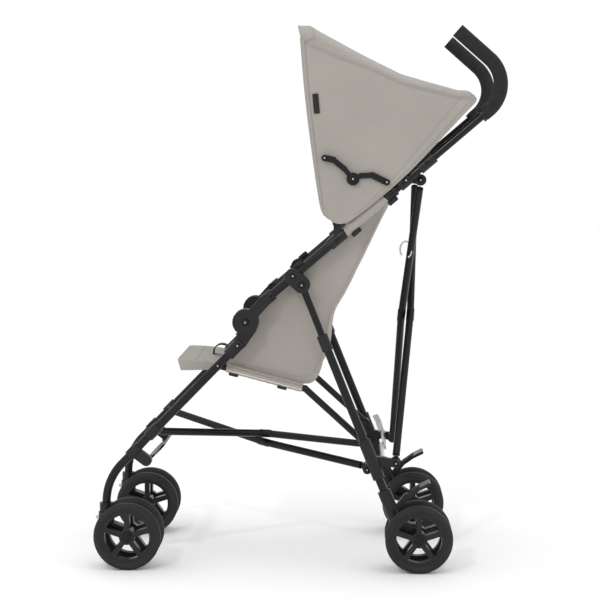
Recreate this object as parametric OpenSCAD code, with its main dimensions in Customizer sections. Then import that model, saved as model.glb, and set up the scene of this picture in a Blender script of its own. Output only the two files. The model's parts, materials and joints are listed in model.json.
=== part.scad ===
// Umbrella-fold stroller. Front faces -Y, the child's left is +X, wheels stand on z = 0.

/* [Frame] */
// Distance between the two push tubes, centre to centre
frame_width = 360; // [340:1:380]
// Diameter of the steel frame tubes
tube_d = 16; // [14:0.5:18]
// Slope of the push tubes above the floor, degrees
push_slope = 40.5; // [38:0.5:43]
// Radius of the bend at the push handles
handle_bend_r = 63; // [55:1:70]
// Slope of the front legs, degrees
leg_slope = 45.7; // [44:0.1:47]
// Radius of the bend at the foot of the front legs
leg_bend_r = 105; // [100:1:110]
// Extra reach sideways of each rear leg at its foot
rear_splay = 18; // [12:1:20]

/* [Wheels] */
// Outer diameter of each wheel
wheel_d = 127; // [120:1:130]
// Width of each tyre
tyre_w = 26; // [22:1:28]
// Distance between the two wheels of a pair, centre to centre
pair_gap = 64; // [60:1:68]
// Thickness of the tyre, bead to tread
tyre_t = 15; // [12:1:17]
// Number of spokes in a wheel
spokes = 5; // [4:1:7]
// Diameter of the wheel axles
axle_d = 8; // [6:0.5:9]

/* [Soft goods] */
// Thickness of the plain solids that stand for the fabric
cloth_t = 3; // [2:0.5:4]
// Width of the seat sling
seat_width = 296; // [280:1:298]
// Distance between the outer faces of the canopy
canopy_width = 390; // [389:0.5:394]

/* [Hidden] */
$fn = 48;
tube_x = frame_width / 2;
wheel_r = wheel_d / 2;
rear_x = tube_x + rear_splay;
rail_x = 158;
rear_cross_x = 164;
low_cross_x = 150;
cross_d = tube_d - 1.6;
brace_reach = 162;
foot_reach = 150;
front_ball_x = 154;
arm_x = canopy_width / 2 - cloth_t - 1.3;

// How far a straight run reaches into its bend, and how much slimmer it is there
seat = 2;
ease = 0.1;

// Pivot points in the side plane, as [y, z]
hinge_p = [-102, 468];
rear_pivot = [4, 538];
rail_front = [-154, 382];
rail_rear = [126, 233];
low_front = [-278, 256];
low_rear = [128, 188];
cross_low = [182, 200];
cross_top = [227, 735];
yoke_pivot = [197, 740];
canopy_pivot = [70, 655];
stay_front_pin = [47, 776];
stay_knob_pin = [100, 737];
stay_rear_pin = [163, 731];
caster_y = -368;
front_axle = [-325, wheel_r];
rear_axle = [225, wheel_r];
push_start = [-71, 503.5];
push_straight = 557.5;
push_top = 79.5;
handle_turn = 98;
grip_d = 27;
grip_start = 546;
leg_top = [-118.5, 421.9];
leg_foot_z = 197;
rear_foot = [184.5, 87];
footrest_p = [-297, 209];
brace_p = [158, 205];
pedal_p = [180, 152];

function along(p, slope, s) = [p[0] + s * cos(slope), p[1] + s * sin(slope)];
function at_x(x, p) = [x, p[0], p[1]];
function push_point(s) = along(push_start, push_slope, s);
function rear_leg_point(s) = rear_pivot + s * (rear_foot - rear_pivot);
function rear_leg_x(s) = tube_x + s * rear_splay;
function leg_point(s) = along(leg_top, leg_slope, -s);
leg_bend_start = [leg_top[0] - (leg_top[1] - leg_foot_z) / tan(leg_slope), leg_foot_z];
leg_bend_centre = along(leg_bend_start, leg_slope - 90, leg_bend_r);
leg_foot_y = leg_bend_centre[0] - leg_bend_r;

// A straight round bar between two points
module rod(a, b, d) {
    v = b - a;
    len = norm(v);
    translate(a)
        rotate([0, acos(v[2] / len), atan2(v[1], v[0])])
            cylinder(d = d, h = len);
}

// A short pin or boss along X, from x0 to x1 at a point of the side plane
module pin(p, x0, x1, d) {
    translate([x0, p[0], p[1]])
        rotate([0, 90, 0])
            cylinder(d = d, h = x1 - x0);
}

// A bolt through a pivot: shank with running clearance and two low heads
module bolt(p, x0, x1, d) {
    pin(p, x0 - 3, x0 - 0.3, d + 5);
    pin(p, x0 - 1, x1 + 1, d - 0.1);
    pin(p, x1 + 0.3, x1 + 3, d + 5);
}

// A side-plane outline made into a plate from x0 to x1
module plate(x0, x1) {
    translate([x0, 0, 0])
        rotate([90, 0, 90])
            linear_extrude(x1 - x0)
                children();
}

// A round bar bent in the side plane about centre c
module bend(x, c, r, from, turn, d) {
    translate([x, c[0], c[1]])
        rotate([90, 0, 90])
            rotate([0, 0, from])
                rotate_extrude(angle = turn)
                    translate([r, 0])
                        circle(d = d);
}

// A flat bar with round ends, in the side plane
module link_outline(a, b, w) {
    v = b - a;
    translate(a) circle(d = w);
    translate(b) circle(d = w);
    translate(a)
        rotate(atan2(v[1], v[0]))
            translate([0, (ease - w) / 2])
                square([norm(v), w - ease]);
}

// The right side is the left side mirrored
module side(which) {
    if (which == "left") children();
    else mirror([1, 0, 0]) children();
}

// ---- push tube and handle ----

module push_path(start, d) {
    bend_start = push_point(push_straight);
    centre = along(bend_start, push_slope + 90, handle_bend_r);
    top_slope = push_slope + handle_turn;
    bend_end = along(centre, top_slope - 90, handle_bend_r);
    rod(at_x(tube_x, push_point(start)), at_x(tube_x, push_point(push_straight + seat)), d - ease);
    bend(tube_x, centre, handle_bend_r, push_slope - 90, handle_turn, d);
    rod(at_x(tube_x, along(bend_end, top_slope, -seat)),
        at_x(tube_x, along(bend_end, top_slope, push_top)), d - ease);
}

module push_tube() {
    color("#26282a") push_path(14, tube_d);
}

module grip() {
    color("#1b1b1c") difference() {
        push_path(grip_start, grip_d);
        push_path(grip_start - 10, tube_d);
    }
}

module tube_sleeve(s0, s1, d) {
    difference() {
        rod(at_x(tube_x, push_point(s0)), at_x(tube_x, push_point(s1)), d);
        rod(at_x(tube_x, push_point(s0 - 1)), at_x(tube_x, push_point(s1 + 1)), tube_d);
    }
}

// Upper half of the fold hinge: a socket on the push tube, two round cheeks and their bolt
module hinge_upper() {
    cheek_in = 6.5;
    cheek_out = 15;
    color("#2b2d2f") {
        difference() {
            union() {
                rod(at_x(tube_x, push_point(3)), at_x(tube_x, push_point(27)), 23);
                for (x0 = [-cheek_out, cheek_in])
                    plate(tube_x + x0, tube_x + x0 + cheek_out - cheek_in)
                        union() {
                            translate(hinge_p) circle(d = 49);
                            link_outline(hinge_p, push_point(9), 22);
                        }
            }
            rod(at_x(tube_x, push_point(14)), at_x(tube_x, push_point(29)), tube_d);
            pin(hinge_p, tube_x - cheek_in, tube_x + cheek_in, 55);
            pin(hinge_p, tube_x - 16, tube_x + 16, 8);
        }
        pin(hinge_p, tube_x - cheek_out + 1, tube_x + cheek_out + 1, 7.9);
        pin(hinge_p, tube_x + cheek_out + 0.3, tube_x + cheek_out + 3, 13);
    }
}

// A sleeve with an ear on each listed x span that reaches out to a pivot
module eared_sleeve(s0, s1, d, pivot, w, spans, bore) {
    mid = push_point((s0 + s1) / 2);
    difference() {
        union() {
            rod(at_x(tube_x, push_point(s0)), at_x(tube_x, push_point(s1)), d);
            for (span = spans)
                plate(span[0], span[1])
                    link_outline(mid, pivot, w);
        }
        rod(at_x(tube_x, push_point(s0 - 20)), at_x(tube_x, push_point(s1 + 20)), tube_d);
        if (bore > 0) pin(pivot, tube_x - 20, tube_x + 20, bore);
    }
}

// Fixed mouldings on the push tube: rear leg ears, canopy clip, stay post, yoke ear and top stop
module tube_fittings() {
    ear_in = 8.5;
    ear_out = 14.5;
    color("#2b2d2f") {
        eared_sleeve(62, 92, 23, rear_pivot, 31,
            [[tube_x - ear_out, tube_x - ear_in], [tube_x + ear_in, tube_x + ear_out]], 8);
        bolt(rear_pivot, tube_x - ear_out, tube_x + ear_out, 8);
        eared_sleeve(168, 204, 22, canopy_pivot, 13, [[tube_x - 2, tube_x + 8]], 0);
        pin(canopy_pivot, tube_x, arm_x + 1.2, 5.9);
        eared_sleeve(306, 330, 22, stay_rear_pin, 12, [[tube_x + 2, tube_x + 10.5]], 0);
        pin(stay_rear_pin, tube_x + 10.5, tube_x + 20.3, 7.9);
        eared_sleeve(338, 362, 23, yoke_pivot, 18, [[tube_x - 15, tube_x - 9]], 0);
        pin(yoke_pivot, rear_cross_x - 10, tube_x - 12, 5.9);
        pin(yoke_pivot, rear_cross_x - 12, rear_cross_x - 9.3, 11);
        tube_sleeve(388, 424, 23);
    }
}

// ---- front leg ----

module front_leg() {
    color("#26282a") {
        rod(at_x(tube_x, leg_top), at_x(tube_x, along(leg_bend_start, leg_slope, -seat)), tube_d - ease);
        bend(tube_x, leg_bend_centre, leg_bend_r, leg_slope + 90, 90 - leg_slope, tube_d);
        rod([tube_x, leg_foot_y, leg_bend_centre[1] + seat],
            [tube_x, leg_foot_y, leg_bend_centre[1] - 13], tube_d - ease);
    }
}

// Lower half of the fold hinge: a disc between the upper cheeks and a curved arm to the leg
module hinge_lower() {
    difference() {
        union() {
            pin(hinge_p, tube_x - 6, tube_x + 6, 47);
            plate(tube_x - 6, tube_x + 6)
                link_outline(hinge_p + [9, -12], leg_point(-10), 24);
            rod(at_x(tube_x, leg_point(-12)), at_x(tube_x, leg_point(24)), 23);
        }
        pin(hinge_p, tube_x - 8, tube_x + 8, 8);
        rod(at_x(tube_x, leg_point(0)), at_x(tube_x, leg_point(30)), tube_d);
    }
}

// An ear beside a folding board, with the board's pivot pin through it
module board_ear(p, slope, x, face, side_reach) {
    translate(at_x(0, p))
        rotate([slope, 0, 0]) {
            translate([x - 8, -8, face + 2.3]) cube([side_reach - x + 8, 16, 3]);
            translate([x, 0, face - 2.5]) cylinder(d = 5.9, h = 6);
        }
}

// Mouldings on the front leg: lower hinge half, cross tube ball, footrest mount, caster socket
module leg_fittings(offset) {
    color("#2b2d2f") {
        hinge_lower();
        difference() {
            union() {
                rod(at_x(tube_x, leg_point(214)), at_x(tube_x, leg_point(242)), 21);
                pin(low_front, front_ball_x - 7.5, tube_x - 4, 14);
            }
            rod(at_x(tube_x, leg_point(200)), at_x(tube_x, leg_point(256)), tube_d);
        }
        difference() {
            union() {
                rod(at_x(tube_x, leg_point(268)), at_x(tube_x, leg_point(294)), 21);
                plate(tube_x - 10, tube_x + 6)
                    link_outline(along(footrest_p, leg_slope - 90, 8), leg_point(281), 21);
                board_ear(footrest_p, leg_slope, foot_reach, offset - 12, tube_x - 5);
            }
            rod(at_x(tube_x, leg_point(250)), at_x(tube_x, leg_point(310)), tube_d);
        }
        difference() {
            translate([tube_x, leg_foot_y, 106]) cylinder(d = 26, h = 17);
            translate([tube_x, leg_foot_y, 110]) cylinder(d = tube_d, h = 30);
        }
    }
}

module wheel_pair_tyres(x, axle) {
    tread = wheel_r;
    bead = wheel_r - tyre_t;
    for (k = [-1, 1])
        color("#1d1d1e")
            translate([x + k * pair_gap / 2, axle[0], axle[1]])
                rotate([0, 90, 0])
                    rotate_extrude()
                        polygon([
                            [bead, -tyre_w / 2 + 3], [bead + 6, -tyre_w / 2],
                            [tread - 6, -tyre_w / 2], [tread - 1.5, -tyre_w / 2 + 4],
                            [tread, -6], [tread, 6],
                            [tread - 1.5, tyre_w / 2 - 4], [tread - 6, tyre_w / 2],
                            [bead + 6, tyre_w / 2], [bead, tyre_w / 2 - 3]
                        ]);
}

module rim_outline(rim_r) {
    difference() {
        circle(r = rim_r);
        circle(r = rim_r - 6);
    }
    circle(r = 15);
    for (k = [0 : spokes - 1])
        rotate(90 + k * 360 / spokes)
            translate([10, -5])
                square([rim_r - 13, 10]);
}

// Both rims and their cross axle turn together as one spinning set
module wheel_pair_rims(x, axle) {
    rim_r = wheel_r - tyre_t;
    color("#2d2e30") {
        for (k = [-1, 1]) {
            plate(x + k * pair_gap / 2 - 9, x + k * pair_gap / 2 + 9)
                translate(axle)
                    rim_outline(rim_r);
            pin(axle, x + k * pair_gap / 2 - 12, x + k * pair_gap / 2 + 12, 20);
        }
        pin(axle, x - pair_gap / 2, x + pair_gap / 2, axle_d);
    }
}

// Swivelling caster housing with the axle bore behind its swivel stem
module caster_housing() {
    color("#242628") difference() {
        union() {
            translate([tube_x, caster_y, 66]) cylinder(d = 30, h = 39.6);
            plate(tube_x - 15, tube_x + 15)
                link_outline([caster_y + 2, 78], front_axle, 22);
        }
        pin(front_axle, tube_x - 20, tube_x + 20, axle_d + 0.1);
        translate([tube_x - 5.4, caster_y - 17, 85]) cube([10.8, 10, 15]);
    }
}

// Small lever in the front slot of the caster housing
module swivel_lock() {
    color("#8c9093")
        plate(tube_x - 5, tube_x + 5)
            link_outline([caster_y - 11.5, 92], [caster_y - 17.5, 95], 6);
}

// ---- rear leg ----

module rear_leg() {
    color("#26282a") difference() {
        union() {
            rod(at_x(tube_x, rear_pivot), at_x(rear_leg_x(0.27), rear_leg_point(0.27)), 13);
            rod(at_x(rear_leg_x(0.23), rear_leg_point(0.23)), at_x(rear_x, rear_foot), tube_d);
            pin(rear_pivot, tube_x - 8, tube_x + 8, 20);
        }
        pin(rear_pivot, tube_x - 10, tube_x + 10, 8);
    }
}

// Collar and bracket on the rear leg: rail pivot, cross tube lugs and brace pivot
module rear_bracket(offset) {
    up = (rear_pivot - rear_foot) / norm(rear_pivot - rear_foot);
    out = [up[1], -up[0]];
    color("#2b2d2f") {
        difference() {
            rod(at_x(rear_leg_x(0.21), rear_leg_point(0.21)),
                at_x(rear_leg_x(0.275), rear_leg_point(0.275)), 21);
            rod(at_x(rear_leg_x(0.18), rear_leg_point(0.18)),
                at_x(rear_leg_x(0.3), rear_leg_point(0.3)), tube_d);
        }
        difference() {
            union() {
                rod(at_x(rear_leg_x(0.65), rear_leg_point(0.65)),
                    at_x(rear_leg_x(0.81), rear_leg_point(0.81)), 23);
                plate(174, 187)
                    union() {
                        link_outline(rear_leg_point(0.74), low_rear, 17);
                        link_outline(rear_leg_point(0.735), cross_low, 16);
                        link_outline(rear_leg_point(0.765), brace_p, 15);
                    }
                pin(rail_rear + [0.4, 0.3], rail_x + 7.8, 182, 14);
                pin(rail_rear, rail_x - 8, rail_x + 10, 4.9);
                pin(rail_rear, rail_x - 10.5, rail_x - 7.4, 10);
                pin(low_rear, low_cross_x + 4.5, 176, 10);
                pin(cross_low, rear_cross_x + 4.5, 176, 10);
                board_ear(brace_p + offset * out, atan2(up[1], up[0]), brace_reach, 0, 176);
            }
            rod(at_x(rear_leg_x(0.6), rear_leg_point(0.6)),
                at_x(rear_leg_x(0.83), rear_leg_point(0.83)), tube_d);
        }
    }
}

module rear_hub() {
    color("#242628") difference() {
        union() {
            rod(at_x(rear_leg_x(0.86), rear_leg_point(0.86)),
                at_x(rear_leg_x(1.01), rear_leg_point(1.01)), 25);
            plate(rear_x - 15, rear_x + 15)
                link_outline([190, 88], rear_axle, 24);
            plate(rear_x - 5, rear_x + 5)
                link_outline([186, 120], pedal_p + [22, -12], 12);
        }
        rod(at_x(rear_leg_x(0.84), rear_leg_point(0.84)), at_x(rear_x, rear_foot), tube_d);
        pin(rear_axle, rear_x - 20, rear_x + 20, axle_d + 0.1);
        pin(pedal_p + [22, -12], rear_x - 20, rear_x + 20, 5);
    }
}

// Foot brake lever on its cross pin, with a tread at the back
module brake_pedal() {
    pivot = pedal_p + [22, -12];
    tread = pivot + [24, 17];
    color("#3a3c3e") {
        for (k = [-1, 1])
            plate(rear_x + k * 8 - 2, rear_x + k * 8 + 2)
                link_outline(pivot, tread, 9);
        pin(pivot, rear_x - 9, rear_x + 9, 4.9);
        plate(rear_x - 22, rear_x + 22)
            link_outline(tread + [1, 0.5], tread + [18, 9], 6);
    }
}

// Bent rail that carries the side of the seat base
module seat_rail() {
    knee = [10, 338.7];
    color("#26282a") difference() {
        union() {
            rod(at_x(rail_x, rail_front), at_x(rail_x, knee), 13);
            translate(at_x(rail_x, knee)) sphere(d = 13.6);
            rod(at_x(rail_x, knee), at_x(rail_x, rail_rear), 13);
            pin(rail_front, rail_x - 7, rail_x + 7, 15);
            pin(rail_rear, rail_x - 7, rail_x + 7, 15);
        }
        pin(rail_rear, rail_x - 8, rail_x + 8, 5);
        pin(rail_front, rail_x - 8, rail_x + 8, 5);
    }
}

// ---- cross tubes ----

// Swinging link that carries the top end of a rear cross tube
module yoke() {
    color("#2b2d2f") difference() {
        union() {
            plate(rear_cross_x - 9, rear_cross_x + 0.6)
                link_outline(yoke_pivot, cross_top, 18);
            pin(cross_top, rear_cross_x - 9, rear_cross_x + 0.6, 22);
        }
        pin(yoke_pivot, rear_cross_x - 12, rear_cross_x + 12, 6);
    }
}

module knuckle(p, x) {
    color("#3a3c3e") difference() {
        pin(p, x - 9, x + 9, 20);
        pin(p, x + 4, x + 12, 10.1);
    }
}

// A cross tube from one lower corner to the opposite upper corner, bowed past its partner,
// with a collar where the two cross
module cross_tube(low, high, x, far_x, bow, gap, cut) {
    a = at_x(x, low);
    b = at_x(-far_x, high);
    dir = (b - a) / norm(b - a);
    mid = (a + b) / 2 + bow;
    color("#26282a") {
        rod(a + gap * dir, mid - 3 * dir, cross_d);
        rod(mid - 12 * dir, mid + 12 * dir, cross_d + 1.4);
        rod(mid + 3 * dir, b - cut * dir, cross_d);
    }
}

rear_bow = [0, 8.8, 0.7];
low_bow = [0, -1.6, -8.8];

// A folding board: round at both ends, bored at its pivot near the outer end
module board(reach, w, face) {
    difference() {
        union() {
            translate([0, -w / 2, face - 2]) cube([reach, w, 4]);
            translate([reach, 0, face - 2]) cylinder(d = w, h = 4);
            translate([0, 0, face - 2]) cylinder(d = w, h = 4);
        }
        translate([reach, 0, face - 3]) cylinder(d = 6, h = 6);
    }
}

// Half of the folding brace between the rear legs
module brace_link(offset) {
    up = (rear_pivot - rear_foot) / norm(rear_pivot - rear_foot);
    out = [up[1], -up[0]];
    color("#7d8083")
        translate(at_x(0, brace_p + offset * out))
            rotate([atan2(up[1], up[0]), 0, 0])
                board(brace_reach, 16, 0);
}

// Half of the folding footrest between the front legs
module footrest(offset) {
    color("#303234")
        translate(at_x(0, footrest_p))
            rotate([leg_slope, 0, 0])
                board(foot_reach, 28, offset - 12);
}

// ---- canopy stays ----

module stay_front() {
    elbow = [63, 773];
    dip = [84, 756];
    color("#27292b") difference() {
        plate(200.6, 204.6)
            union() {
                link_outline(stay_front_pin, elbow, 12);
                link_outline(elbow, dip, 10.5);
                link_outline(dip, stay_knob_pin, 9.5);
                translate(stay_knob_pin) circle(d = 20);
            }
        pin(stay_front_pin, 190, 210, 8);
    }
    color("#27292b") pin(stay_knob_pin, 203, 209, 15);
}

module stay_rear() {
    rise = [114, 743];
    crest = [136, 744];
    color("#27292b") difference() {
        plate(196, 200)
            union() {
                link_outline(stay_rear_pin, crest, 12);
                link_outline(crest, rise, 10.5);
                link_outline(rise, stay_knob_pin, 9.5);
                translate(stay_knob_pin) circle(d = 24);
            }
        pin(stay_rear_pin, 190, 210, 8);
    }
}

// ---- soft goods, plain solids ----

back_top = [178, 716];
back_waist = [55, 475];
back_hip = [40, 401];
back_foot = [6, 356];
base_front = [-148, 379];
flap_front = [-233, 379];

module strip_outline(points, t) {
    for (k = [0 : len(points) - 2])
        link_outline(points[k], points[k + 1], t);
}

module seat_back() {
    color("#a9a39b")
        plate(-seat_width / 2, seat_width / 2)
            strip_outline([back_top, back_waist, back_hip, back_foot], cloth_t);
}

module seat_base() {
    color("#a9a39b")
        plate(-seat_width / 2, seat_width / 2)
            strip_outline([back_foot + [-4, -7], base_front, flap_front], cloth_t);
}

module side_panel() {
    color("#a9a39b")
        plate(seat_width / 2 + 0.6, seat_width / 2 + 3)
            polygon([
                push_point(20) + [6, -12], push_point(70) + [22, -34], back_top + [-19, -27],
                back_top + [-14, -27], back_waist + [-4, 0], back_hip + [-4, 0],
                back_foot + [-6, 4], base_front + [10, 4]
            ]);
}

hood_front_top = [0, 1030];
hood_front_back = [18, 1030];
hood_rear_top = [320, 906];
hood_rear_low = [332, 890];
hood_tip = [76, 652];

module canopy_outline() {
    polygon([
        hood_front_top, hood_front_back, [28, 1016], [192, 937], hood_rear_top, hood_rear_low,
        [162, 736], [96, 660], hood_tip, [58, 659], [44, 676], [36, 712]
    ]);
}

module canopy() {
    outer = canopy_width / 2;
    color("#a9a39b") difference() {
        plate(-outer, outer) canopy_outline();
        plate(-outer + cloth_t, outer - cloth_t)
            polygon([
                hood_front_top + [-20, -3], hood_front_back + [-2, -3], [26, 1013], [191, 934],
                hood_rear_top + [-1, -3], hood_rear_low + [30, -3], [162, 700], [96, 600], [0, 600]
            ]);
        for (k = [-1, 1], p = [stay_rear_pin, stay_front_pin])
            pin(p, k * outer - 8, k * outer + 8, 14);
    }
}

bow_top = [16, 978];
bow_crown = [14, 1009];
bow_shoulder_x = 140;

// Flat steel strip up each side of the canopy's front edge, with the pin of the front stay
module bow_arm() {
    color("#303234") {
        difference() {
            plate(arm_x, arm_x + 1)
                link_outline(canopy_pivot, bow_top, 17);
            pin(canopy_pivot, arm_x - 2, arm_x + 3, 6);
        }
        pin(stay_front_pin, arm_x + 0.2, 206.5, 7.9);
    }
}

// Arched crossbar that holds the front edge of the canopy up, between the two arms
module canopy_bow() {
    color("#303234")
        for (k = [-1, 1]) {
            rod(at_x(k * (arm_x - 4), bow_top), at_x(k * bow_shoulder_x, bow_crown), 7);
            translate(at_x(k * bow_shoulder_x, bow_crown)) sphere(d = 7.4);
            rod(at_x(k * bow_shoulder_x, bow_crown), at_x(-k, bow_crown), 7);
        }
}

// ---- drawing ----

module left_parts(which) {
    prefix = str(which, "_");
    side(which) push_tube();
    side(which) grip();
    side(which) hinge_upper();
    side(which) tube_fittings();
    side(which) front_leg();
    side(which) bow_arm();
    side(which) leg_fittings(which == "left" ? 0 : -5);
    side(which) caster_housing();
    side(which) swivel_lock();
    side(which) wheel_pair_tyres(tube_x, front_axle);
    side(which) wheel_pair_rims(tube_x, front_axle);
    side(which) rear_leg();
    side(which) rear_bracket(which == "left" ? 0 : 5);
    side(which) rear_hub();
    side(which) brake_pedal();
    side(which) wheel_pair_tyres(rear_x, rear_axle);
    side(which) wheel_pair_rims(rear_x, rear_axle);
    side(which) seat_rail();
    side(which) yoke();
    side(which) knuckle(cross_low, rear_cross_x);
    side(which) knuckle(low_rear, low_cross_x);
    side(which) brace_link(which == "left" ? 0 : 5);
    side(which) footrest(which == "left" ? 0 : -5);
    side(which) stay_front();
    side(which) stay_rear();
    side(which) side_panel();
}

left_parts("left");
left_parts("right");
cross_tube(cross_low, cross_top, rear_cross_x, rear_cross_x, rear_bow, 14, 19);  // rear_cross_left
mirror([1, 0, 0]) cross_tube(cross_low, cross_top, rear_cross_x, rear_cross_x, -rear_bow, 14, 19);  // rear_cross_right
cross_tube(low_rear, low_front, low_cross_x, front_ball_x, low_bow, 14, 13);  // low_cross_left
mirror([1, 0, 0]) cross_tube(low_rear, low_front, low_cross_x, front_ball_x, -low_bow, 14, 13);  // low_cross_right
seat_back();
seat_base();
canopy();
canopy_bow();
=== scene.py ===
"""Umbrella-fold stroller: fabric, webbing, bolts, materials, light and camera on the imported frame."""

import json
import math

import bmesh
import bpy
import numpy as np
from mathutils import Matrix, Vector, noise


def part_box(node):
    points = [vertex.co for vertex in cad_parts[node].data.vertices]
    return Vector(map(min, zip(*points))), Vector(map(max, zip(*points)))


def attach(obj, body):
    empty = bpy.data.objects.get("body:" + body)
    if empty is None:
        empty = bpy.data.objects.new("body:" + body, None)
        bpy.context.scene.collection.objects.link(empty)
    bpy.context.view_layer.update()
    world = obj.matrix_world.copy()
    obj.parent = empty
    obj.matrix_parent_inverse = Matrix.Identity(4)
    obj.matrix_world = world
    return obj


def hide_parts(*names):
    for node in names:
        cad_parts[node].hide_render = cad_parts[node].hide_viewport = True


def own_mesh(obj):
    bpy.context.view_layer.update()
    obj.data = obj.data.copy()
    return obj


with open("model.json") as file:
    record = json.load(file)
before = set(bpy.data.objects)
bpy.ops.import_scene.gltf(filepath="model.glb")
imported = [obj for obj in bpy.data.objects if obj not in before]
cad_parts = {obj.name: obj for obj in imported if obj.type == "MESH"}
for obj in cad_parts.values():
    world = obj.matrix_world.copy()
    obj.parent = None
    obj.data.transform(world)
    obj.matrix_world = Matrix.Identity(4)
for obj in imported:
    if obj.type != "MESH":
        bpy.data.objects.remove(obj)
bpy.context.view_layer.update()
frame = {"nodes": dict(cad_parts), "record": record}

# ---- driving sizes, in metres ----

TUBE_X = 0.180  # side plane of the push tubes
PUSH_SLOPE = math.radians(40.5)
PUSH_START = np.array([-0.071, 0.5035])
SEAT_HALF = 0.1460  # half the seat's width
HOOD_HALF = 0.1934  # half the hood's width
CLOTH = 0.0011  # fabric thickness


# ---- materials ----


class Look:
    """A procedural material with short helpers for its nodes."""

    def __init__(self, name, colour, roughness, metallic=0.0):
        self.material = bpy.data.materials.new(name)
        self.material.use_nodes = True
        self.nodes = self.material.node_tree.nodes
        self.links = self.material.node_tree.links
        self.shader = self.nodes["Principled BSDF"]
        self.colour = colour
        self.shader.inputs["Base Color"].default_value = (*colour, 1.0)
        self.shader.inputs["Roughness"].default_value = roughness
        self.shader.inputs["Metallic"].default_value = metallic
        self.place = self.nodes.new("ShaderNodeTexCoord").outputs["Object"]

    def noise(self, scale, detail=3.0):
        node = self.nodes.new("ShaderNodeTexNoise")
        node.inputs["Scale"].default_value = scale
        node.inputs["Detail"].default_value = detail
        self.links.new(self.place, node.inputs["Vector"])
        return node.outputs["Fac"]

    def wave(self, scale, direction):
        node = self.nodes.new("ShaderNodeTexWave")
        node.bands_direction = direction
        node.inputs["Scale"].default_value = scale
        node.inputs["Distortion"].default_value = 0.4
        self.links.new(self.place, node.inputs["Vector"])
        return node.outputs["Fac"]

    def math(self, kind, a, b):
        node = self.nodes.new("ShaderNodeMath")
        node.operation = kind
        for socket, value in zip(node.inputs, (a, b)):
            if isinstance(value, (int, float)):
                socket.default_value = value
            else:
                self.links.new(value, socket)
        return node.outputs[0]

    def vary(self, factor, darker, lighter):
        """Colour swings between two shares of the base colour with factor."""
        ramp = self.nodes.new("ShaderNodeValToRGB")
        for element, share in zip(ramp.color_ramp.elements, (darker, lighter)):
            element.color = (*(min(1.0, c * share) for c in self.colour), 1.0)
        ramp.color_ramp.elements[0].position = 0.3
        ramp.color_ramp.elements[1].position = 0.7
        self.links.new(factor, ramp.inputs["Fac"])
        self.links.new(ramp.outputs["Color"], self.shader.inputs["Base Color"])

    def worn(self, factor, least, most):
        """Roughness runs from least to most with factor."""
        spread = self.nodes.new("ShaderNodeMapRange")
        spread.inputs["To Min"].default_value = least
        spread.inputs["To Max"].default_value = most
        self.links.new(factor, spread.inputs["Value"])
        self.links.new(spread.outputs["Result"], self.shader.inputs["Roughness"])

    def bump(self, height, strength, distance):
        node = self.nodes.new("ShaderNodeBump")
        node.inputs["Strength"].default_value = strength
        node.inputs["Distance"].default_value = distance
        self.links.new(height, node.inputs["Height"])
        self.links.new(node.outputs["Normal"], self.shader.inputs["Normal"])


def cloth_look(name, colour):
    """Plain weave: fine threads both ways, with a soft mottling and a slight sheen."""
    look = Look(name, colour, 0.9)
    across = look.wave(900, "DIAGONAL")
    along = look.wave(900, "Z")
    weave = look.math("MULTIPLY", across, along)
    creases = look.math("MULTIPLY", look.noise(16, 4), 3.0)
    look.bump(look.math("ADD", weave, creases), 0.35, 0.0012)
    look.vary(look.noise(9, 5), 0.955, 1.03)
    look.shader.inputs["Sheen Weight"].default_value = 0.25
    return look.material


def webbing_look():
    look = Look("webbing", (0.012, 0.012, 0.013), 0.8)
    look.bump(look.math("ADD", look.wave(420, "Z"), look.noise(700)), 0.5, 0.0006)
    look.vary(look.noise(60), 0.8, 1.3)
    return look.material


def frame_look():
    look = Look("frame", (0.007, 0.0073, 0.008), 0.22, 0.2)
    look.shader.inputs["Specular IOR Level"].default_value = 0.3
    look.bump(look.noise(900), 0.12, 0.0003)
    look.worn(look.noise(14), 0.16, 0.28)
    look.vary(look.noise(7), 0.85, 1.15)
    return look.material


def plastic_look(name, colour, roughness):
    look = Look(name, colour, roughness)
    look.shader.inputs["Specular IOR Level"].default_value = 0.3
    look.bump(look.noise(1400, 2), 0.2, 0.0003)
    look.worn(look.noise(20), roughness - 0.07, roughness + 0.09)
    look.vary(look.noise(12), 0.85, 1.15)
    return look.material


def bolt_look():
    """Polished black heads."""
    look = Look("bolt_black", (0.003, 0.003, 0.0033), 0.1)
    look.worn(look.noise(40), 0.07, 0.13)
    look.vary(look.noise(60), 0.8, 1.2)
    look.shader.inputs["Specular IOR Level"].default_value = 0.25
    return look.material


def foam_look():
    look = Look("grip_foam", (0.008, 0.008, 0.0085), 0.88)
    look.bump(look.noise(650, 6), 0.6, 0.0009)
    look.vary(look.noise(90), 0.7, 1.5)
    return look.material


def tyre_look():
    look = Look("tyre", (0.006, 0.006, 0.0063), 0.6)
    look.bump(look.noise(320, 5), 0.4, 0.0007)
    look.worn(look.noise(25), 0.62, 0.9)
    look.vary(look.noise(18), 0.75, 1.6)
    return look.material


def steel_look():
    look = Look("steel", (0.55, 0.56, 0.57), 0.28, 1.0)
    look.bump(look.wave(500, "X"), 0.15, 0.0002)
    look.worn(look.noise(30), 0.25, 0.45)
    look.vary(look.noise(40), 0.85, 1.1)
    return look.material


def thread_look(name, colour):
    look = Look(name, colour, 0.75)
    look.bump(look.wave(1200, "DIAGONAL"), 0.4, 0.0003)
    look.vary(look.noise(120), 0.85, 1.1)
    return look.material


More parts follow.
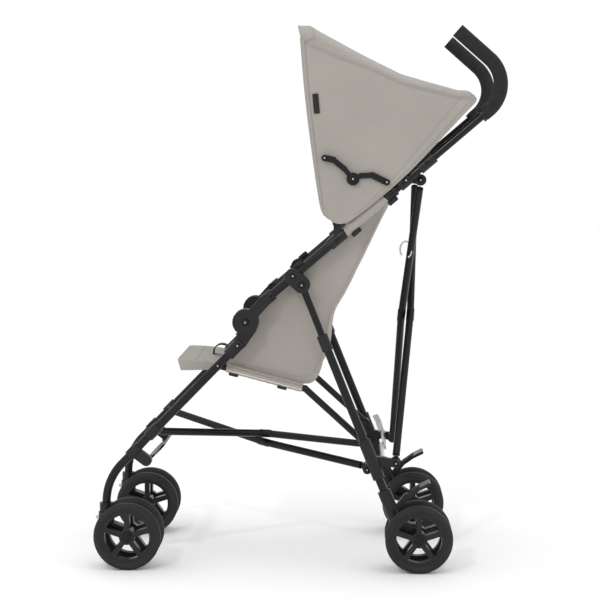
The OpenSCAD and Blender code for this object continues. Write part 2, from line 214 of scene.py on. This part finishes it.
MATERIAL = {
    "frame": frame_look(),
    "moulding": plastic_look("moulding", (0.008, 0.0083, 0.009), 0.34),
    "grip_foam": foam_look(),
    "tyre": tyre_look(),
    "rim": plastic_look("rim", (0.008, 0.0083, 0.009), 0.3),
    "steel": steel_look(),
    "bolt_black": bolt_look(),
    "cloth_grey": cloth_look("cloth_grey", (0.345, 0.320, 0.288)),
    "webbing": webbing_look(),
    "piping": thread_look("piping", (0.66, 0.61, 0.52)),
    "buckle": plastic_look("buckle", (0.02, 0.02, 0.021), 0.3),
    "thread": thread_look("thread", (0.275, 0.253, 0.225)),
}

for row in frame["record"]["subparts"]:
    node = frame["nodes"][row["node"]]
    node.data.materials.clear()
    node.data.materials.append(MATERIAL[row["material_slot"]])


# ---- building blocks ----


def unit(v):
    v = np.array(v, float)
    return v / max(np.linalg.norm(v), 1e-9)


def curve_through(points, count):
    """Catmull-Rom curve through the points, with count samples."""
    p = np.array(points, float)
    p = np.vstack([2 * p[0] - p[1], p, 2 * p[-1] - p[-2]])
    out = []
    for t in np.linspace(0, len(p) - 3 - 1e-9, count):
        k, f = int(t), t - int(t)
        a, b, c, d = p[k : k + 4]
        out.append(
            0.5 * (2 * b + (c - a) * f + (2 * a - 5 * b + 4 * c - d) * f**2 + (3 * b - a - 3 * c + d) * f**3)
        )
    return np.array(out)


def push_point(s, drop=0.0):
    """Point [y, z] on the push tube's axis, s along it and drop below it."""
    along = np.array([math.cos(PUSH_SLOPE), math.sin(PUSH_SLOPE)])
    below = np.array([math.sin(PUSH_SLOPE), -math.cos(PUSH_SLOPE)])
    return PUSH_START + s * along + drop * below


class Piece:
    """Collects surfaces with their materials and makes one mesh object of them."""

    def __init__(self, name):
        self.name, self.verts, self.faces, self.marks, self.slots = name, [], [], [], []

    def add(self, verts, faces, material):
        if material not in self.slots:
            self.slots.append(material)
        base = len(self.verts)
        self.verts += [tuple(map(float, v)) for v in verts]
        self.faces += [tuple(base + i for i in f) for f in faces]
        self.marks += [self.slots.index(material)] * len(faces)

    def sheet(self, rows, material, thick=CLOTH):
        """Cloth of even thickness round a grid of points."""
        g = np.array(rows, float)
        du, dv = np.gradient(g, axis=0), np.gradient(g, axis=1)
        n = np.cross(du, dv)
        n /= np.maximum(np.linalg.norm(n, axis=2, keepdims=True), 1e-12)
        a, b = g.shape[:2]
        verts = np.concatenate([(g + n * thick / 2).reshape(-1, 3), (g - n * thick / 2).reshape(-1, 3)])
        at = lambda i, j, side: side * a * b + i * b + j
        faces = []
        for i in range(a - 1):
            for j in range(b - 1):
                faces.append((at(i, j, 0), at(i + 1, j, 0), at(i + 1, j + 1, 0), at(i, j + 1, 0)))
                faces.append((at(i, j, 1), at(i, j + 1, 1), at(i + 1, j + 1, 1), at(i + 1, j, 1)))
        rim = [(i, 0) for i in range(a)] + [(a - 1, j) for j in range(1, b)]
        rim += [(i, b - 1) for i in range(a - 2, -1, -1)] + [(0, j) for j in range(b - 2, -1, -1)]
        for (i, j), (k, l) in zip(rim, rim[1:]):
            faces.append((at(i, j, 0), at(i, j, 1), at(k, l, 1), at(k, l, 0)))
        self.add(verts, faces, material)

    def tube(self, points, radius, material, sides=10):
        p = np.array(points, float)
        t = np.gradient(p, axis=0)
        rings, side = [], unit(np.cross(t[0], (0.13, 0.31, 0.94)))
        for q, d in zip(p, t):
            d = unit(d)
            side = unit(side - np.dot(side, d) * d)
            up = np.cross(d, side)
            rings.append([q + radius * (math.cos(a) * side + math.sin(a) * up)
                          for a in np.linspace(0, 2 * math.pi, sides, endpoint=False)])
        verts = [v for r in rings for v in r]
        faces = [(k * sides + i, k * sides + (i + 1) % sides,
                  (k + 1) * sides + (i + 1) % sides, (k + 1) * sides + i)
                 for k in range(len(p) - 1) for i in range(sides)]
        faces += [tuple(range(sides))[::-1], tuple((len(p) - 1) * sides + i for i in range(sides))]
        self.add(verts, faces, material)

    def ribbon(self, points, across, width, material, thick=0.0016):
        """A strap: its length follows the points and its width lies along across."""
        p, w = np.array(points, float), unit(across) * width / 2
        self.sheet([[q - w, q - w * 0.33, q + w * 0.33, q + w] for q in p], material, thick)

    def stitches(self, points, material="thread", pitch=0.0045, radius=0.0003):
        """A row of short thread dashes along the points."""
        p = np.array(points, float)
        far = np.concatenate([[0], np.cumsum(np.linalg.norm(np.diff(p, axis=0), axis=1))])
        at = lambda s: np.array([np.interp(s, far, p[:, k]) for k in range(3)])
        for s in np.arange(pitch, far[-1] - pitch, pitch):
            self.tube([at(s), at(s + pitch * 0.35), at(s + pitch * 0.7)], radius, material, 5)

    def dome(self, centre, axis, radius, height, material):
        """A low round-headed rivet with a small flat rim."""
        axis = unit(axis)
        side = unit(np.cross(axis, (0.2, 0.5, 0.84)))
        up = np.cross(axis, side)
        rings = []
        for share, lift in ((1.0, 0.0), (1.0, 0.25), (0.93, 0.45), (0.75, 0.75), (0.45, 0.95), (0.15, 1.0)):
            rings.append([np.array(centre) + axis * height * lift
                          + radius * share * (math.cos(a) * side + math.sin(a) * up)
                          for a in np.linspace(0, 2 * math.pi, 24, endpoint=False)])
        verts = [v for r in rings for v in r]
        faces = [(k * 24 + i, k * 24 + (i + 1) % 24, (k + 1) * 24 + (i + 1) % 24, (k + 1) * 24 + i)
                 for k in range(5) for i in range(24)]
        faces += [tuple(range(24))[::-1], tuple(120 + i for i in range(24))]
        self.add(verts, faces, material)

    def block(self, centre, size, turn, material, ease=0.0012):
        """A box with eased edges, turned about X."""
        half = np.array(size) / 2
        ring = [(x, y, z) for x in (-1, 1) for y in (-1, 1) for z in (-1, 1)]
        verts = []
        for corner in ring:
            for axis in range(3):
                cut = np.array([1.0, 1.0, 1.0]) * half - ease
                cut[axis] = half[axis]
                verts.append(np.array(corner) * cut)
        c, s = math.cos(turn), math.sin(turn)
        spun = [(v[0], c * v[1] - s * v[2], s * v[1] + c * v[2]) for v in verts]
        shape = bmesh.new()
        for v in spun:
            shape.verts.new(np.array(v) + centre)
        bmesh.ops.convex_hull(shape, input=shape.verts)
        shape.verts.ensure_lookup_table()
        shape.verts.index_update()
        verts = [tuple(v.co) for v in shape.verts]
        faces = [tuple(v.index for v in f.verts) for f in shape.faces]
        shape.free()
        self.add(verts, faces, material)

    def done(self, body):
        mesh = bpy.data.meshes.new(self.name)
        mesh.from_pydata(self.verts, [], self.faces)
        for name in self.slots:
            mesh.materials.append(MATERIAL[name])
        mesh.polygons.foreach_set("material_index", self.marks)
        mesh.polygons.foreach_set("use_smooth", [True] * len(self.faces))
        mesh.update()
        mesh.set_sharp_from_angle(angle=math.radians(50))
        thing = bpy.data.objects.new(self.name, mesh)
        bpy.context.collection.objects.link(thing)
        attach(thing, body)
        return thing


def ripple(y, z, scale, seed):
    return noise.noise(Vector((y * scale, z * scale, seed)))


# ---- hood ----

HOOD_TOP = [(0.0, -0.006, 1.029), (0.05, 0.017, 1.0295), (0.1, 0.034, 1.019), (0.28, 0.093, 0.987),
            (0.57, 0.191, 0.937), (0.88, 0.299, 0.906), (0.95, 0.319, 0.905), (1.0, 0.332, 0.893)]
HOOD_FRONT = [(0.059, 0.659), (0.043, 0.675), (0.034, 0.717), (0.021, 0.809), (0.010, 0.902), (0.002, 0.999)]
SIDE_SHARE = 0.56  # part of each arch that is side panel


HOOD_EDGE = curve_through(HOOD_FRONT, 80)


def at_height(line, z):
    """Point [y, z] of a rising line at height z."""
    return np.array([np.interp(z, line[:, 1], line[:, 0]), z])


def hood_point(across, along):
    """across runs -1 to 1 from the right tip over the top to the left tip, along 0 to 1 front to back."""
    top = np.array([np.interp(along, [p[0] for p in HOOD_TOP], [p[k] for p in HOOD_TOP]) for k in (1, 2)])
    ridge = top + (1 - along) * np.array([0.008, -0.030]) + along * np.array([-0.004, -0.014])
    tip = np.array([0.059 + 0.035 * along, 0.659 - 0.006 * math.sin(math.pi * along)])
    rise = (1 - abs(across)) / SIDE_SHARE
    x = HOOD_HALF
    if rise <= 1:
        straight = tip + (ridge - tip) * rise
        front = at_height(HOOD_EDGE, tip[1] + (ridge[1] - tip[1]) * rise)
        share = max(0.0, 1 - 2.2 * along) ** 2
        yz = straight + (front - straight) * share
        lift = math.sin(math.pi * rise)
        yz = yz + np.array([0.5, -0.85]) * 0.012 * lift * (1.3 - rise) * along**3
        x += 0.0008 * lift * (0.5 + 0.5 * math.sin(22 * along + 3 * rise))
        x += 0.0006 * lift * ripple(yz[0], yz[1], 30, 1.0)
    else:
        angle = (rise - 1) / (1 / SIDE_SHARE - 1) * math.pi / 2
        crown = math.sin(angle)
        yz = ridge + (top - ridge) * crown
        x = HOOD_HALF * math.cos(angle) ** 0.62
        sag = 4 * along * (1 - along) * crown
        yz = yz + np.array([0.0, -0.001 - 0.0015 * ripple(yz[0] + x, yz[1], 14, 2.0)]) * sag
    return np.array([math.copysign(x, across) if across else 0.0, yz[0], yz[1]])


def hood():
    piece = Piece("hood_fabric")
    steps = np.linspace(-1, 1, 121)
    ways = np.concatenate([np.linspace(0, 0.07, 5)[:-1], np.linspace(0.07, 1, 46)])
    piece.sheet([[hood_point(a, b) for b in ways] for a in steps], "cloth_grey")
    for along in (0.004, 0.985):
        edge = [hood_point(a, along) for a in np.linspace(-0.995, 0.995, 141)]
        piece.tube(edge, 0.0015, "cloth_grey", 8)
    for along in (0.062, 0.068, 0.90, 0.972):
        line = [hood_point(a, along) for a in np.linspace(-0.97, 0.97, 161)]
        piece.stitches([p + 0.0008 * unit((p[0], 0, 0.08 * (abs(p[0]) < 0.19))) for p in line])
    for side in (-1, 1):
        seam = side * (1 - SIDE_SHARE)
        proud = np.array([side * 0.0006, 0, 0.0004])
        cord = [hood_point(seam, b) + proud for b in np.linspace(0.03, 0.98, 50)]
        piece.tube(cord, 0.0011, "cloth_grey", 8)
        proud = np.array([side * 0.0009, 0, 0])
        piece.stitches([hood_point(seam * 1.02, b) + proud for b in np.linspace(0.04, 0.97, 60)])
    tag = np.array([HOOD_HALF + 0.0020, 0.031, 0.877])
    piece.block(tag, (0.0012, 0.011, 0.037), math.radians(5), "webbing", 0.0003)
    hood_object = piece.done("left_push")
    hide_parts("canopy")
    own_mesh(hood_object)


# ---- seat ----

BACK_LINE = [(0.175, 0.712), (0.131, 0.622), (0.085, 0.528), (0.057, 0.475), (0.046, 0.402), (0.014, 0.352)]
BASE_LINE = [(0.0125, 0.3485), (-0.020, 0.3505), (-0.070, 0.361), (-0.147, 0.3785), (-0.170, 0.3800)]
NOSE_LINE = [(-0.140, 0.3790), (-0.170, 0.3880), (-0.205, 0.3915), (-0.2315, 0.3925), (-0.2350, 0.3905),
             (-0.2300, 0.3735), (-0.2270, 0.3715), (-0.190, 0.3720), (-0.158, 0.3740), (-0.140, 0.3790)]
RAIL_LINE = [(-0.140, 0.3783), (-0.060, 0.3571), (0.004, 0.3403)]  # the seat rail's front run
RAIL_X = 0.158


def seat_rows(line, count, sag, seed, seam, half=SEAT_HALF):
    """A sling between the two sides: its middle gives by sag along the line's normal, and not at the seam."""
    path = curve_through(line, count)
    steps = np.linspace(-1, 1, 41)
    flow = np.gradient(path, axis=0)
    rows = []
    for k, ((y, z), (ty, tz)) in enumerate(zip(path, flow)):
        hold = min(1.0, 6 * abs(k / (count - 1) - seam))
        n = unit((-tz, ty))
        n = n if n[1] < 0 else -n
        row = []
        for s in steps:
            give = hold * (sag * (1 - s * s) + 0.0012 * ripple(y + s * 0.3, z, 22, seed) * (1 - s**4))
            row.append((s * half, y + n[0] * give, z + n[1] * give))
        rows.append(row)
    return rows


def strap(piece, points, across=(1, 0, 0), width=0.024):
    piece.ribbon(curve_through(points, 40), across, width, "webbing")


def seat_back():
    piece = Piece("seat_back_fabric")
    rows = seat_rows(BACK_LINE, 60, 0.006, 3.0, 1, SEAT_HALF + 0.003)
    piece.sheet(rows, "cloth_grey", 0.0016)
    piece.tube([np.array(p) + (0, 0, 0.001) for p in rows[0]], 0.0022, "cloth_grey", 8)
    for row in (3, 30):
        piece.stitches([np.array(p) + (0, -0.0012, 0) for p in rows[row]])
    for side in (-1, 1):
        x = side * 0.055
        strap(piece, [(x, y - 0.0045, z + 0.001) for y, z in BACK_LINE[1:5]])
        hip = [(side * 0.130, 0.036, 0.398), (side * 0.100, 0.020, 0.392), (side * 0.060, 0.010, 0.390)]
        strap(piece, hip, (0, 0.4, 1), 0.022)
        piece.block(np.array([x, 0.066, 0.506]), (0.032, 0.004, 0.018), math.radians(62), "buckle")
    back = piece.done("back_sling")
    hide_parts("seat_back")
    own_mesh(back)


def seat_base():
    """The base sling, its padded front bar, a sleeve round each rail, piping, tabs, and the crotch strap."""
    piece = Piece("seat_base_fabric")
    rows = seat_rows(BASE_LINE, 56, 0.005, 5.0, 0)
    piece.sheet(rows, "cloth_grey", 0.0022)
    ring = curve_through(NOSE_LINE, 49)[:-1]
    spans = np.linspace(-1, 1, 33)
    shape = []
    for k in spans:
        soft = 1 - 0.05 * k**20
        crease = [0.0007 * ripple(k, 9 * t, 3.0, 4.0) for t in np.linspace(0, 1, len(ring))]
        shape.append([(k * SEAT_HALF, -0.195 + (y + 0.195) * soft, 0.381 + (z - 0.381) * (soft + 12 * c))
                      for (y, z), c in zip(ring, crease)])
    count = len(ring)
    faces = [(i * count + j, i * count + (j + 1) % count,
              (i + 1) * count + (j + 1) % count, (i + 1) * count + j)
             for i in range(len(spans) - 1) for j in range(count)]
    faces += [tuple(range(count))[::-1], tuple((len(spans) - 1) * count + j for j in range(count))]
    piece.add([v for row in shape for v in row], faces, "cloth_grey")
    piece.stitches([np.array(row[10]) + (0, 0, 0.0003) for row in shape])
    for side in (-1, 1):
        run = curve_through(RAIL_LINE, 60)
        sleeve = [np.array((side * RAIL_X, y, z + 0.0003 * math.sin(k))) for k, (y, z) in enumerate(run)]
        piece.tube(sleeve, 0.0082, "cloth_grey", 20)
        outer = np.array([side * 0.0078, 0, 0])
        piece.tube([p + outer + (0, 0, -0.0032) for p in sleeve], 0.0011, "piping", 8)
        piece.tube([p + outer + (0, 0, 0.0042) for p in sleeve], 0.0008, "thread", 6)
        for y, z in ((-0.126, 0.3668), (-0.034, 0.3426)):
            tab = np.array([side * RAIL_X, y, z])
            piece.block(tab, (0.010, 0.019, 0.010), math.radians(-14), "webbing", 0.002)
    loop = [(0.0, -0.159 + 0.0165 * math.cos(a), 0.3925 + 0.0165 * math.sin(a))
            for a in np.linspace(-1.4, 4.3, 36)]
    piece.ribbon(loop, (1, 0, 0), 0.026, "webbing", 0.0022)
    strap(piece, [(0, -0.060, 0.3570), (0, -0.110, 0.3680), (0, -0.150, 0.3800)], width=0.026)
    piece.block(np.array([0, -0.112, 0.3745]), (0.044, 0.030, 0.009), math.radians(-13), "buckle", 0.003)
    base = piece.done("left_rail")
    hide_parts("seat_base")
    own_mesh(base)


def side_panel(side, name):
    """Cloth between the push tube, the back's edge and the base, drawn tight towards its three tabs."""
    piece = Piece(f"{name}_side_fabric")
    near_tube = ((-0.004, 0.012), (0.03, 0.005), (0.10, 0.003), (0.20, 0.002), (0.312, 0.004))
    upper = [push_point(s, d) for s, d in near_tube]
    lower = [(-0.150, 0.3825), (-0.070, 0.3645), (0.000, 0.3480), (0.030, 0.3560), (0.0465, 0.402),
             (0.0585, 0.475), (0.0865, 0.528), (0.132, 0.622), (0.168, 0.697)]
    top, bottom = curve_through(upper, 70), curve_through(lower, 70)
    rows = []
    for k, (a, b) in enumerate(zip(top, bottom)):
        row = []
        for t in np.linspace(0, 1, 26):
            y, z = a + (b - a) * t
            pull = math.sin(math.pi * t)
            x = 0.1600 - 0.0105 * t
            x -= 0.0030 * pull * (0.6 + 0.4 * math.sin(0.32 * k + 2.2 * t))
            x += 0.0012 * pull * ripple(y, z, 28, 8.0 + side)
            x -= 0.0030 * pull * max(0.0, 1 - abs(k - 16) / 12)
            row.append((side * x, y, z))
        rows.append(row)
    piece.sheet(rows, "cloth_grey")
    out = np.array([side * 0.0010, 0, 0])
    piece.tube([np.array(r[0]) + out * 0.2 for r in rows], 0.0018, "cloth_grey", 8)
    piece.stitches([np.array(r[2]) + out for r in rows[2:-2]])
    piece.stitches([np.array(r[-3]) + out for r in rows[2:-2]])
    wrap = []
    for k, s in enumerate(np.linspace(0.206, 0.304, 40)):
        y, z = push_point(s, 0.0006 * math.sin(0.9 * k))
        wrap.append(np.array([side * TUBE_X, y, z]))
    piece.tube(wrap, 0.0096, "cloth_grey", 24)
    for end in (wrap[2:4], wrap[-4:-2]):
        piece.tube([end[0], (end[0] + end[1]) / 2, end[1]], 0.0100, "cloth_grey", 24)
    for s, drop in ((0.098, -0.0105), (0.222, 0.0135), (0.312, 0.0135)):
        y, z = push_point(s, drop)
        piece.block(np.array([side * 0.1790, y, z]), (0.014, 0.021, 0.009), PUSH_SLOPE, "webbing", 0.002)
    panel = piece.done(f"{name}_push")
    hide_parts(f"{name}_side_panel")
    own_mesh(panel)


# ---- rivets and small hardware ----


def rivets(side, name):
    """Round black heads on the outer and inner faces at the pivots, one mesh for each body. Each smaller head
    carries a light steel dot in its middle as a painted glint.
    """
    # each head: y, z, x of its face, and its radius in mm, negative where it faces inwards
    spots = {
        f"{name}_push": [(-0.102, 0.468, 0.1980, 7.0), (0.004, 0.538, 0.1975, 6.5),
                         (-0.0125, 0.555, 0.1940, 5.5), (0.163, 0.731, 0.2003, 5.5),
                         (0.1990, 0.7345, 0.1910, 5.0)],
        f"{name}_bow": [(0.047, 0.776, 0.2062, 5.0)],
        f"{name}_front_stay": [(0.100, 0.737, 0.2090, 5.5)],
        f"{name}_front_frame": [(-0.278, 0.256, 0.1760, 5.5), (-0.1170, 0.4232, 0.1910, 5.0),
                                (-0.1545, 0.3849, 0.1876, 3.5)],
        f"{name}_rear_frame": [(0.128, 0.188, 0.1870, 5.0), (0.182, 0.200, 0.1870, 5.0)],
        f"{name}_yoke_link": [(0.227, 0.735, 0.1646, 6.0)],
        f"{name}_front_wheels": [(-0.325, 0.0635, 0.2240, 8.5), (-0.325, 0.0635, 0.1360, -8.5)],
        f"{name}_rear_wheels": [(0.225, 0.0635, 0.2420, 8.5), (0.225, 0.0635, 0.1540, -8.5)],
    }
    for body, places in spots.items():
        piece = Piece(f"{body}_rivets")
        for y, z, x, size in places:
            facing = math.copysign(1, size)
            piece.dome((side * x, y, z), (side * facing, 0, 0), abs(size) / 1000, 0.0036, "bolt_black")
            # painted glint: a small light steel dome in the middle of each smaller black head stands in for
            # its highlight
            if abs(size) < 8:
                middle = (side * (x + facing * 0.0030), y, z)
                piece.dome(middle, (side * facing, 0, 0), 0.0017, 0.0012, "steel")
        piece.done(body)


def tube_pins(side, name):
    """Small rivet heads on the outside of the sleeves, where they are fixed to the tubes."""
    piece = Piece(f"{name}_sleeve_pins")
    for s in (0.020, 0.077, 0.186, 0.318, 0.350, 0.406):
        y, z = push_point(s)
        piece.dome((side * (TUBE_X + 0.0108), y, z), (side, 0, 0), 0.0040, 0.0028, "bolt_black")
    piece.done(f"{name}_push")


def grip_rings(side, name):
    """Collar where the foam grip starts."""
    piece = Piece(f"{name}_grip_collar")
    along = np.array([0, math.cos(PUSH_SLOPE), math.sin(PUSH_SLOPE)])
    start = np.array([side * TUBE_X, *push_point(0.5385)])
    run = [start + along * s for s in (0, 0.001, 0.006, 0.0071)]
    piece.tube(run, 0.0128, "moulding", 28)
    piece.done(f"{name}_push")


def hook_and_latch():
    """Fold catch: a wire hook on one rear cross tube, and a flat steel latch on the right rear leg."""
    hook = Piece("fold_hook")
    turn = [(0.0, math.cos(a) * 0.011, math.sin(a) * 0.016) for a in np.linspace(-1.2, 3.9, 28)]
    lo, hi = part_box("rear_cross_right")
    share = (0.600 - lo[2]) / (hi[2] - lo[2])
    centre = np.array([-0.164 + 0.328 * share + 0.001, 0.202, 0.600])
    hook.tube([centre + np.array(p) for p in turn], 0.0016, "steel", 10)
    hook.done("right_rear_tube")
    latch = Piece("brace_latch")
    plate = [(-0.171, 0.146, 0.246), (-0.170, 0.153, 0.232), (-0.169, 0.158, 0.216), (-0.168, 0.163, 0.208)]
    latch.ribbon(plate, (0, 0.9, 0.3), 0.012, "steel", 0.0015)
    latch.done("right_rear_frame")


hood()
seat_back()
seat_base()
for side, name in ((1, "left"), (-1, "right")):
    side_panel(side, name)
    rivets(side, name)
    tube_pins(side, name)
    grip_rings(side, name)
hook_and_latch()


# ---- studio ----


def studio():
    bpy.ops.mesh.primitive_plane_add(size=40, location=(0, 0, 0))
    floor = bpy.context.object
    floor.name = "floor"
    look = Look("floor", (0.97, 0.97, 0.97), 0.8)
    floor.data.materials.append(look.material)
    world = bpy.data.worlds.new("studio")
    bpy.context.scene.world = world
    world.use_nodes = True
    world.node_tree.nodes["Background"].inputs["Color"].default_value = (1, 1, 1, 1)
    world.node_tree.nodes["Background"].inputs["Strength"].default_value = 1.03
    for name, place, size, power in (("key", (3.0, -1.2, 2.6), 0.18, 22), ("top", (0.2, 0.6, 3.6), 3.0, 8)):
        data = bpy.data.lights.new(name, "AREA")
        data.size, data.energy = size, power
        lamp = bpy.data.objects.new(name, data)
        bpy.context.collection.objects.link(lamp)
        lamp.location = place
        lamp.rotation_euler = (Vector((0, 0, 0.5)) - Vector(place)).to_track_quat("-Z", "Y").to_euler()
    bpy.context.scene.view_settings.view_transform = "Standard"


def camera():
    """Long lens on the left side, slightly above the seat."""
    data = bpy.data.cameras.new("camera")
    data.sensor_width = 36.0
    data.lens = 116.3
    eye = bpy.data.objects.new("camera", data)
    bpy.context.collection.objects.link(eye)
    eye.location = (3.8209, 0.1039, 0.7724)
    yaw, dip = math.atan2(55, 1938), math.atan2(140, 1938)
    toward = Vector((-math.cos(dip) * math.cos(yaw), -math.cos(dip) * math.sin(yaw), -math.sin(dip)))
    eye.rotation_euler = toward.to_track_quat("-Z", "Y").to_euler()
    data.clip_end = 100
    bpy.context.scene.camera = eye


studio()
camera()
